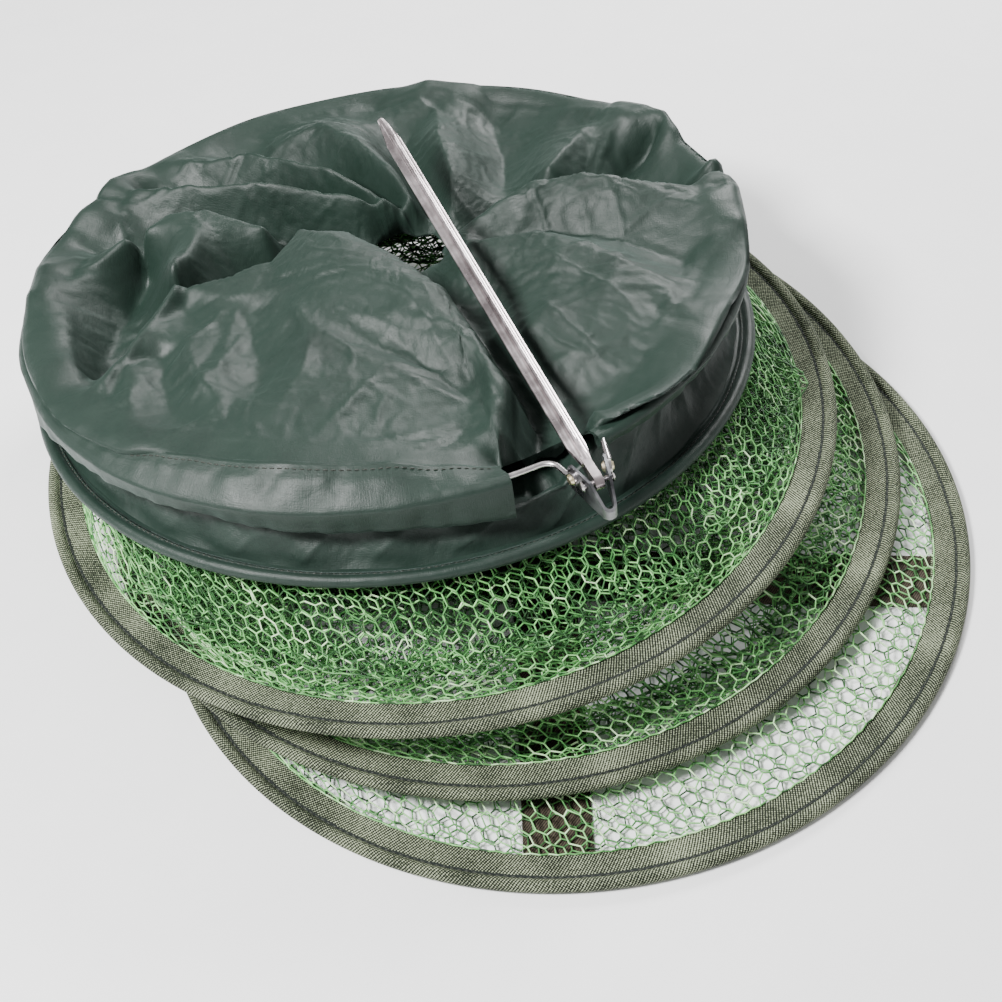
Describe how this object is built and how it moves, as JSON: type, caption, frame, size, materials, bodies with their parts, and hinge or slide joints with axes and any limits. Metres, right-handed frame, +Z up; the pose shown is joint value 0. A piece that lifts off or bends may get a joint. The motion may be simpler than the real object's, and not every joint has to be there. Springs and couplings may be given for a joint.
{
  "type": "collapsible keep net",
  "caption": "Round collapsible fishing keep net folded flat: sprung hoops in webbing, hexagonal netting, fabric skirt, open mouth loop and a pivoting bank stick.",
  "frame": {"origin": "centre of the base hoop, on the surface that the net stands on", "axes": "+Z up out of the mouth, -Y towards the bracket and bank stick pivot, +X to the right seen from there"},
  "size_m": [0.4554, 0.4929, 0.1347],
  "materials": {
    "hoop_steel": "bare drawn spring wire",
    "ferrule_brass": "crimped tube",
    "webbing": "olive-brown twill webbing",
    "strap": "dark brown woven strap",
    "netting": "green knotless hexagonal netting",
    "nylon": "dark green coated nylon with a satin sheen",
    "mouth_steel": "bare steel wire",
    "bracket_steel": "pressed sheet steel",
    "rivet_brass": "pale brass rivets",
    "stick_metal": "bright drawn ribbed rod"
  },
  "bodies": {
    "base": {"base_hoop_wire": "hoop_steel", "base_hoop_ferrule": "ferrule_brass", "base_hoop_sleeve": "webbing", "base_net": "netting", "base_strap_lengthwise": "strap", "base_strap_crosswise": "strap"},
    "lower_hoop": {"lower_hoop_wire": "hoop_steel", "lower_hoop_ferrule": "ferrule_brass", "lower_hoop_sleeve": "webbing", "lower_net": "netting"},
    "upper_hoop": {"upper_hoop_wire": "hoop_steel", "upper_hoop_ferrule": "ferrule_brass", "upper_hoop_sleeve": "webbing", "middle_net": "netting"},
    "collar": {"collar_hoop_wire": "hoop_steel", "collar_hoop_ferrule": "ferrule_brass", "collar_piping": "nylon", "upper_net": "netting", "mouth_skirt": "nylon"},
    "mouth": {"mouth_wire": "mouth_steel", "mouth_casing": "nylon", "stake_bracket": "bracket_steel", "wire_rivets": "rivet_brass", "stake_pivot_pin": "mouth_steel"},
    "bank_stick": {"bank_stick": "stick_metal"}
  },
  "joints": [
    {"name": "lower_section_slide", "type": "slide", "parent": "base", "child": "lower_hoop", "axis": [0.1166, -0.2041, 0.972], "range_m": [0, 0.2], "deforming": ["lower_net"]},
    {"name": "middle_section_slide", "type": "slide", "parent": "lower_hoop", "child": "upper_hoop", "axis": [0.1478, -0.0838, 0.9855], "range_m": [0, 0.2], "deforming": ["middle_net"]},
    {"name": "upper_section_slide", "type": "slide", "parent": "upper_hoop", "child": "collar", "axis": [0.0831, -0.1907, 0.9781], "range_m": [0, 0.2], "deforming": ["upper_net"]},
    {"name": "skirt_slide", "type": "slide", "parent": "collar", "child": "mouth", "axis": [0.01, -0.0599, 0.9982], "range_m": [0, 0.2], "deforming": ["mouth_skirt"]},
    {"name": "bank_stick_pivot", "type": "hinge", "parent": "mouth", "child": "bank_stick", "pos_m": [0.014, -0.072, 0.118], "axis": [0.9578, 0.2874, 0], "range_deg": [0, 165]}
  ]
}
